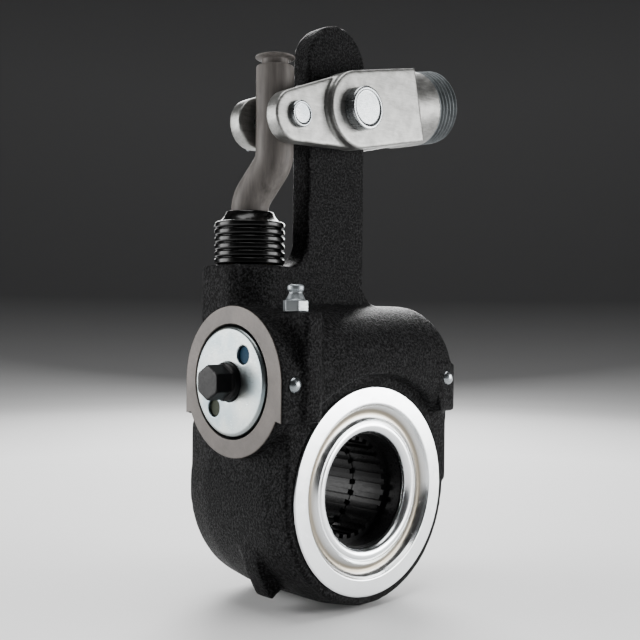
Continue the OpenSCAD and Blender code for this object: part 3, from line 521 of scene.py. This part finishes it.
def coverProfile():
    # flat flange, a round groove, then a lip that rolls over into the hole; the back is a plain step behind it
    face, flat, hole, outer = (ringLook[key] for key in ("face", "flat", "hole", "outer"))
    edge, brow, lip, back = ringLook["edge"], ringLook["brow"], ringLook["lip"], face - ringLook["sheet"]
    front = np.concatenate([
        [[outer, back]],
        arc((outer - edge, face - edge), edge, 0, 90, 5),
        [[outer - 0.7, face], [outer - 1.0, face], [flat + 1.1, face], [flat + 0.8, face]],
        arc((flat + brow, face - brow), brow, 90, 155, 5),
        arc((ringLook["groove"], face + ringLook["hollowUp"]), ringLook["hollow"], -31, -140, 17),
        arc((hole + lip, face - ringLook["lipDeep"]), lip, 58, 180, 15),
        [[hole, face - 4.25]],
    ])
    behind = np.array([[hole + 1.2, face - 4.25], [hole + 1.5, face - 4.0], [flat, face - 4.0],
                       [flat + 1.2, back], [outer, back]])
    return np.concatenate([front, behind])


coverRing = lathe("coverRing", coverProfile(), ringLook["steps"], lambda p: np.c_[p[:, 0], -p[:, 2], p[:, 1]])
dress(coverRing, coverZinc, "housing", "front_cover_ring")
print("cover ring done")


# Link: a round bar carried along an S bend, with a shoulder, neck and flange on top

linkLook = {"foot": (-31.0, 9.2, 94.0), "head": (-27.34, 0.0), "bend": (102.0, 122.0), "ease": 0.32, "radius": 6.85,
            "top": 153.2, "upright": 0.9999, "steps": 64}
# rows of the link's crown: how far inside the bar's radius, and how far above the shoulder
linkCrown = np.array([(0.05, -0.3), (0.15, -0.1), (0.3, 0.0), (0.5, 0.0), (1.8, 0.0), (2.0, 0.05), (2.1, 0.25),
                      (2.1, 2.2), (2.0, 2.45), (1.7, 2.6), (0.3, 2.85), (0.0, 2.9), (-0.25, 3.0), (-0.3, 3.1),
                      (-0.3, 3.4), (-0.2, 3.55), (0.0, 3.6), (0.4, 3.6), (3.3, 3.6), (3.9, 3.3), (4.0, 1.8),
                      (6.84, 1.8)])


def linkBar():
    # the centre runs straight from foot to head, eased at both ends by a square of the height
    low, high = linkLook["bend"]
    height = np.concatenate([np.linspace(linkLook["foot"][2], low, 4), np.linspace(low, high, 32)[1:],
                             np.linspace(high, linkLook["top"] - 0.6, 12)[1:]])
    t = np.clip((height - low) / (high - low), 0, 1)
    w = linkLook["ease"]
    leave, arrive = t ** 2 / (2 * w * (1 - w)), 1 - (1 - t) ** 2 / (2 * w * (1 - w))
    ease = np.where(t < w, leave, np.where(t > 1 - w, arrive, (t - w / 2) / (1 - w)))
    foot, head = np.array(linkLook["foot"][:2]), np.array(linkLook["head"])
    centre = np.c_[foot + ease[:, None] * (head - foot), height]
    radius = np.full(len(height), linkLook["radius"])
    centre = np.r_[centre, np.c_[np.tile(head, (len(linkCrown), 1)), linkLook["top"] + linkCrown[:, 1]]]
    radius = np.r_[radius, linkLook["radius"] - linkCrown[:, 0]]
    along = np.gradient(centre, axis=0)
    along[len(height):] = (0, 0, 1)
    along /= np.linalg.norm(along, axis=1)[:, None]
    side = np.cross((0, 0, 1), along + [1e-9, 1e-6, 0])
    side /= np.linalg.norm(side, axis=1)[:, None]
    # upright rings take their side from the ring that leans most
    side[np.abs(along[:, 2]) > linkLook["upright"]] = side[np.argmin(along[:, 2])]
    other = np.cross(along, side)
    turn = np.linspace(0, 2 * np.pi, linkLook["steps"], endpoint=False)[None, :, None]
    grid = centre[:, None] + radius[:, None, None] * (np.cos(turn) * side[:, None] + np.sin(turn) * other[:, None])
    faces = gridFaces(len(centre), linkLook["steps"], closeColumns=True)
    return outward(putMesh("bentLink", grid.reshape(-1, 3), faces))


dress(linkBar(), linkFinish, "link", "link")
print("link done")


# Boot: bellows on the rack column with a cone round the link

bootLook = {"centre": (-31.0, 9.2), "low": 81.45, "ridges": 6, "pitch": 2.65, "inner": 10.9, "swell": 1.85,
            "round": 4.0, "steps": 96}


def bootProfile():
    # each ridge is a disc with a round edge: the radius drops by a power of the distance from the ridge's middle
    count = bootLook["ridges"] * 14
    t = np.linspace(0, bootLook["ridges"], count + 1)
    away = np.abs(2 * (t % 1) - 1)
    ridge = np.c_[bootLook["inner"] + bootLook["swell"] * np.sqrt(1 - away ** bootLook["round"]),
                  bootLook["low"] + bootLook["pitch"] * t]
    top = ridge[-1, 1]
    collar = np.array([(10.7, top + 0.1), (9.5, top + 1.6), (8.9, top + 2.6), (8.75, top + 3.1), (8.55, top + 3.5),
                       (8.2, top + 3.6), (7.8, top + 3.45), (7.65, top + 3.1), (7.65, top + 1.2)])
    return np.concatenate([[[9.5, bootLook["low"]]], ridge, collar])


def bootPlace(p):
    # sets the boot's axis over the rack
    return np.c_[p[:, 0] + bootLook["centre"][0], p[:, 1] + bootLook["centre"][1], p[:, 2]]


boot = lathe("rackBoot", bootProfile(), bootLook["steps"], bootPlace)
boot.data.materials.append(bootRubber)
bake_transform(boot)
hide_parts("boot")
print("boot done")


# Clevis: milled body, then the outer thread on its boss

clevisShape = {"pin": (0.0, 139.7), "tilt": clevisLook["tilt"], "rod": 15.0, "start": 48.8, "end": 60.5,
               "depth": 1.15, "pitch": 2.1, "fade": 1.5, "chamfer": 1.2, "chamferDeep": 1.1, "hole": 7.15,
               "rows": 140, "steps": 128}
clevisSoft = {"voxel": 0.5, "rounds": 4, "under": 0.35}


def clevisFrame(points):
    # from the object's frame to the clevis' own, with the main pin at the origin
    x, z = points[:, 0] - clevisShape["pin"][0], points[:, 2] - clevisShape["pin"][1]
    c, s = math.cos(clevisShape["tilt"]), math.sin(clevisShape["tilt"])
    return np.c_[c * x + s * z, points[:, 1], c * z - s * x]


def fromClevis(points):
    # the way back: turned by the tilt, then moved to the main pin
    c, s = math.cos(clevisShape["tilt"]), math.sin(clevisShape["tilt"])
    x, z = c * points[:, 0] - s * points[:, 2], s * points[:, 0] + c * points[:, 2]
    return np.c_[x + clevisShape["pin"][0], points[:, 1], z + clevisShape["pin"][1]]


def underThread(points):
    # draws the boss in under the thread, so that the thread's own surface shows
    own = clevisFrame(points)
    radius = np.hypot(own[:, 1], own[:, 2])
    core = clevisShape["rod"] - clevisShape["depth"] - clevisSoft["under"]
    shrink = np.where((own[:, 0] > clevisShape["start"] + 0.2) & (radius > core), core / np.maximum(radius, 1), 1.0)
    own[:, 1:] *= shrink[:, None]
    own[:, 0] = np.minimum(own[:, 0], clevisShape["end"] - 0.3)
    return fromClevis(own)


clevisSkin = softCopy("clevis", "clevisBody", {**clevisSoft, "shape": underThread})
dress(clevisSkin, clevisPlate, "clevis", "clevis")


def clevisThread():
    # a sleeve whose radius falls and rises as a helix goes by, closed by a chamfer and the end face
    steps, end, bore = clevisShape["steps"], clevisShape["end"], clevisShape["hole"] + 0.05
    length = np.linspace(clevisShape["start"] - 0.2, end, clevisShape["rows"])
    turn = np.linspace(0, 2 * np.pi, steps, endpoint=False)
    phase = (length[:, None] - clevisShape["start"]) / clevisShape["pitch"] - turn[None] / (2 * np.pi)
    flank = np.abs((phase % 1) * 2 - 1)
    fade = np.clip((length - clevisShape["start"]) / clevisShape["fade"], 0, 1)[:, None]
    chamfer = np.clip((length - end + clevisShape["chamfer"]) / clevisShape["chamfer"], 0, 1)[:, None]
    radius = clevisShape["rod"] - clevisShape["depth"] * np.clip(flank * 1.3 - 0.15, 0, 1) * fade
    radius = np.minimum(radius, clevisShape["rod"] - chamfer * clevisShape["chamferDeep"])
    grid = np.stack([np.repeat(length[:, None], steps, 1), radius * np.cos(turn), radius * np.sin(turn)], 2)
    closing = [(end, clevisShape["hole"] + 1.0), (end - 0.9, bore), (end - 6, bore)]
    rings = [np.c_[np.full(steps, x), r * np.cos(turn), r * np.sin(turn)] for x, r in closing]
    points = np.concatenate([grid.reshape(-1, 3), *rings])
    faces = gridFaces(len(length) + len(closing), steps, closeColumns=True)
    return outward(putMesh("clevisThread", fromClevis(points), faces))


dress(clevisThread(), threadPlate, "clevis")
print("clevis done")


# Small pieces: plugs in the spanner holes, then soft copies of the turned and pressed hardware

floorLook = {"reach": 12.4, "turn": math.radians(40), "radius": 3.0, "deep": -46.5, "dish": 0.25, "bottom": -43.9,
             "steps": 32}


def holeFloor(name, side):
    # a plug on a spanner hole's bottom: a straight wall, then a dish that deepens towards the middle by a square
    share = np.r_[1, 1, np.linspace(0.97, 0.02, 5)]
    turn = np.linspace(0, 2 * np.pi, floorLook["steps"], endpoint=False)
    radius = floorLook["radius"] * share[:, None]
    y = -side * floorLook["reach"] * math.sin(floorLook["turn"]) + radius * np.cos(turn)
    z = barrel["axisZ"] + side * floorLook["reach"] * math.cos(floorLook["turn"]) + radius * np.sin(turn)
    depth = floorLook["deep"] + floorLook["dish"] * (1 - share ** 2)
    depth[0] = floorLook["bottom"]
    x = np.repeat(depth[:, None], len(turn), 1)
    faces = gridFaces(len(share), len(turn), closeColumns=True)
    return outward(putMesh(name, np.stack([x, y, z], 2).reshape(-1, 3), faces))


dress(holeFloor("upperHoleFloor", 1), blackOxide("blueHoleFloor", *oxideLook["blueFloor"]), "housing")
dress(holeFloor("lowerHoleFloor", -1), blackOxide("greyHoleFloor", *oxideLook["greyFloor"]), "housing")

dishLook = {"slope": 0.6, "skin": 0.5}


def headDish(node, rim):
    # sinks the middle of a pin's head: none at the rim, full depth inside it, with a smooth step between
    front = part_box(node)[0][1] / mm
    centre = rim["centre"]

    def sink(points):
        reach = np.hypot(points[:, 0] - centre[0], points[:, 2] - centre[1])
        share = np.clip((rim["head"] - rim["width"] - reach) / dishLook["slope"], 0, 1)
        step = rim["deep"] * share ** 2 * (3 - 2 * share)
        points[:, 1] += np.where(points[:, 1] < front + dishLook["skin"], step, 0.0)
        return points
    return sink


mainRim = {"centre": (0.0, 139.7), "head": 8.0, "width": 1.2, "deep": 0.4}
linkRim = {"centre": (-27.34, 134.14), "head": 4.75, "width": 0.8, "deep": 0.25}
hardware = {
    "main_pin": ("mainPin", {"voxel": 0.3, "rounds": 2, "shape": headDish("main_pin", mainRim)}, pinZinc, "clevis"),
    "link_pin": ("linkPin", {"voxel": 0.22, "rounds": 2, "shape": headDish("link_pin", linkRim)}, pinZinc, "clevis"),
    "main_cotter": ("mainCotter", {"voxel": 0.2, "rounds": 3}, pinZinc, "clevis"),
    "link_cotter": ("linkCotter", {"voxel": 0.2, "rounds": 3}, pinZinc, "clevis"),
    "end_cap": ("wormEndCap", {"voxel": 0.25, "rounds": 3}, capZinc, "housing"),
    "worm_shaft": ("wormShaft", {"voxel": 0.36, "rounds": 1}, hexBlack, "worm"),
    "grease_fitting": ("greaseFitting", {"voxel": 0.22, "rounds": 3}, fittingZinc, "housing"),
    "drive_screws": ("driveScrews", {"voxel": 0.22, "rounds": 2}, pinZinc, "housing"),
}
for node, (name, look, finish, body) in hardware.items():
    dress(softCopy(node, name, look), finish, body, node)

plainNodes = {"arm_bush": innerBronze, "worm_wheel": splineBlack, "front_bearing_ring": innerBronze,
              "rear_seal": sealRubber, "shaft_seal": sealRubber, "cap_gasket": sealRubber,
              "left_thrust_washer": innerBronze, "right_thrust_washer": innerBronze, "right_bush": innerBronze,
              "right_end_plug": castBlack, "clutch_pinion": innerSteel, "clutch_spring": innerSteel,
              "rack_plunger": innerSteel, "rack_guide": innerBronze, "link_foot_pin": innerSteel}
for node, finish in plainNodes.items():
    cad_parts[node].data.materials.clear()
    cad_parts[node].data.materials.append(finish)
print("hardware done")


# Studio: pale floor, soft lights

studioLook = {"floorColour": (0.80, 0.80, 0.80), "wallColour": (0.04, 0.04, 0.041), "near": 0.42, "far": 1.15,
              "middle": (0.0, 0.0, 0.06), "world": 0.08, "flat": 0.8, "curve": 0.5, "wall": 1.6, "steps": 96}


def addFloor():
    # a pale floor that curves up into a round wall: a profile of radius and height, turned about the upright axis;
    # its colour is a painted pool of light, pale near the middle and darkening further out
    low = cadBox[0].z
    bend = arc((studioLook["flat"], low + studioLook["curve"]), studioLook["curve"], -90, 0, 17)
    profile = np.r_[[[0.0, low]], bend, [[studioLook["flat"] + studioLook["curve"], low + studioLook["wall"]]]]
    floor = lathe("studioFloor", profile / mm, studioLook["steps"], lambda p: p)
    floor.data.flip_normals()
    material, tree, shader = newMaterial("paleFloor", studioLook["floorColour"], 0.0, 0.7)
    distance = addNode(tree, "ShaderNodeVectorMath", operation="LENGTH")
    tree.links.new(objectPlace(tree), distance.inputs[0])
    # painted pool of light: the colour fades from pale near the middle to dark far off
    paintedPoolFade = spread(tree, distance.outputs["Value"], studioLook["near"], studioLook["far"], 0.0, 1.0)
    tone = ramp(tree, paintedPoolFade, 0.0, 1.0, studioLook["floorColour"], studioLook["wallColour"])
    tree.links.new(tone, shader.inputs["Base Color"])
    floor.data.materials.append(material)


# each softbox: place, width and height in metres, power in watts
softboxes = {
    "leftSoftbox": ((-0.56, 0.50, 0.14), (0.5, 0.6), 9.0),
    "rightSoftbox": ((0.50, -0.56, 0.12), (0.5, 0.42), 8.5),
    "topSoftbox": ((0.0, 0.0, 0.80), (0.6, 0.6), 7.0),
    "backSoftbox": ((0.52, 0.55, 0.40), (0.5, 0.5), 10.0),
}


def addLight(name, place, size, power):
    # an area light turned to the middle of the part, and left out of the picture itself
    data = bpy.data.lights.new(name, "AREA")
    data.shape, data.size, data.size_y, data.energy = "RECTANGLE", size[0], size[1], power
    light = bpy.data.objects.new(name, data)
    light.location = place
    light.visible_camera = False
    light.rotation_mode = "QUATERNION"
    light.rotation_quaternion = (Vector(studioLook["middle"]) - Vector(place)).to_track_quat("-Z", "Y")
    bpy.context.scene.collection.objects.link(light)


addFloor()
world = bpy.data.worlds.new("studioWorld")
world.use_nodes = True
world.node_tree.nodes["Background"].inputs["Color"].default_value = (1, 1, 1, 1)
world.node_tree.nodes["Background"].inputs["Strength"].default_value = studioLook["world"]
bpy.context.scene.world = world
for name, (place, size, power) in softboxes.items():
    addLight(name, place, size, power)
print("studio set")
